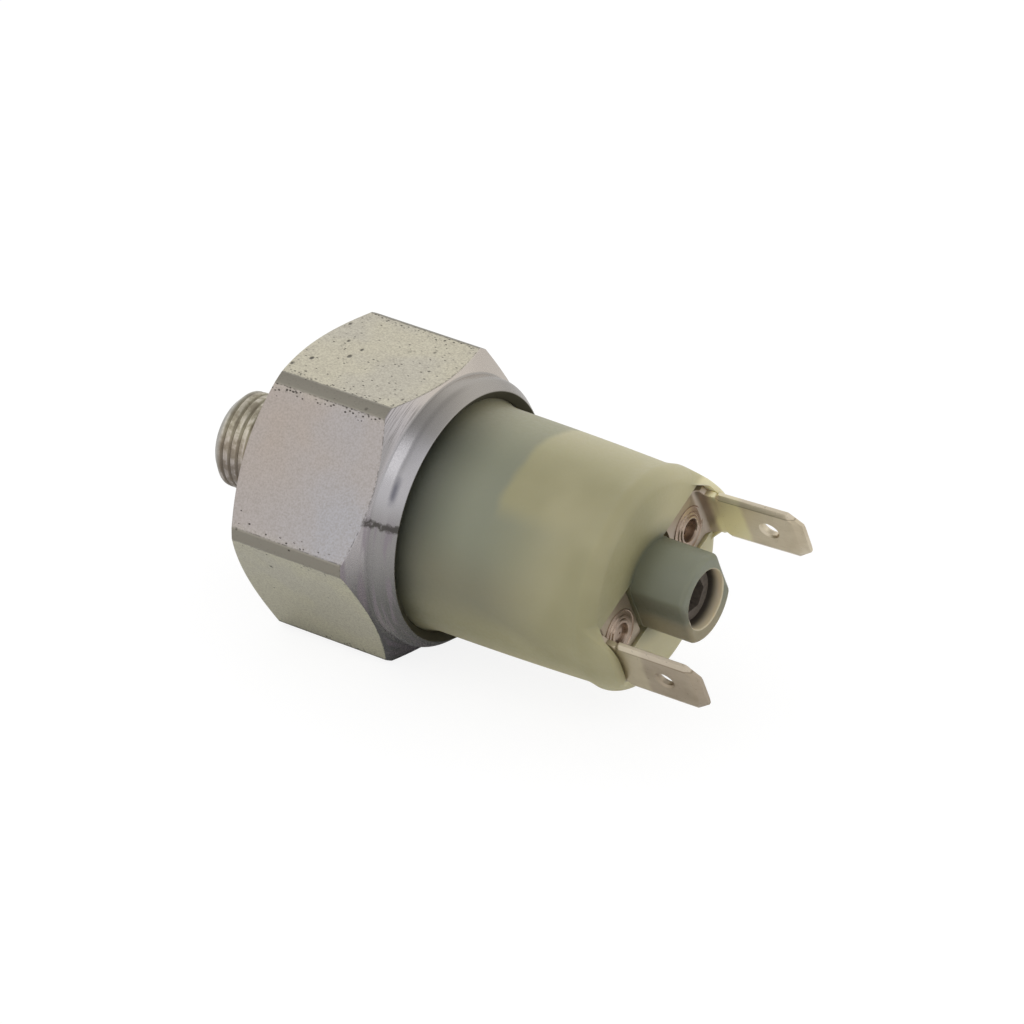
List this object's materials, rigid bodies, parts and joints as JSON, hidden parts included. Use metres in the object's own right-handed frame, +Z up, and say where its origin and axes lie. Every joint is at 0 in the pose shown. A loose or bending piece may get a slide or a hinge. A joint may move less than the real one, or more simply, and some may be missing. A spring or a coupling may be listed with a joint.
{
  "type": "oil pressure sender",
  "caption": "Engine oil pressure sender with a hexagon steel body, tapered screw-in stud, crimped nylon cap, screw boss and two blade terminals.",
  "frame": {"origin": "centre of the bounding box's bottom face, on the surface that the sender lies on", "axes": "+X along the sender's axis, from the threaded stud to the blade tips; +Z up, square to the hexagon flat that it lies on; +Y across the other corners"},
  "size_m": [0.0582, 0.0306, 0.027],
  "materials": {
    "zinc_steel": "turned steel with worn, faintly iridescent zinc plating and small dark pits",
    "olive_nylon": "moulded olive-grey nylon, slightly translucent, satin",
    "tinned_brass": "stamped brass strip with dull tin plating",
    "blackened_steel": "black oxide",
    "bright_steel": "plain machined steel",
    "dull_steel": "drawn sheet steel, dull plated",
    "nitrile_rubber": "moulded black rubber",
    "silver": "silver contact metal",
    "phenolic": "machined brown phenolic laminate",
    "bronze_sheet": "rolled phosphor bronze"
  },
  "bodies": {
    "housing": {"body": "zinc_steel", "seal_ring": "nitrile_rubber", "diaphragm": "bronze_sheet", "support_washer": "bright_steel", "guide_cup": "dull_steel", "cap_gasket": "nitrile_rubber", "cap": "olive_nylon", "terminal_upper": "tinned_brass", "terminal_lower": "tinned_brass", "rivet_upper": "tinned_brass", "rivet_lower": "tinned_brass", "fixed_contact_upper": "silver", "fixed_contact_lower": "silver", "range_spring": "bright_steel"},
    "plunger_group": {"plunger": "phenolic", "contact_bridge": "bronze_sheet", "moving_contact_upper": "silver", "moving_contact_lower": "silver", "insulating_washer": "phenolic"},
    "spring_seat_group": {"spring_seat": "bright_steel"},
    "screw_group": {"adjusting_screw": "blackened_steel"}
  },
  "joints": [
    {"name": "plunger_travel", "type": "slide", "parent": "housing", "child": "plunger_group", "axis": [1, 0, 0], "range_m": [0, 0.0008], "stiffness_N_per_m": 8100, "springref_m": -0.001, "deforming": ["range_spring"]},
    {"name": "adjuster_travel", "type": "slide", "parent": "housing", "child": "spring_seat_group", "axis": [1, 0, 0], "range_m": [-0.00075, 0.00075], "deforming": ["range_spring"]},
    {"name": "adjuster_turn", "type": "hinge", "parent": "spring_seat_group", "child": "screw_group", "pos_m": [0.0158, 0, 0.0135], "axis": [1, 0, 0], "range_deg": [-270, 270]}
  ],
  "couplings": [
    {"joint": "adjuster_turn", "follows": "adjuster_travel", "rad_per_m": 6283.2}
  ]
}
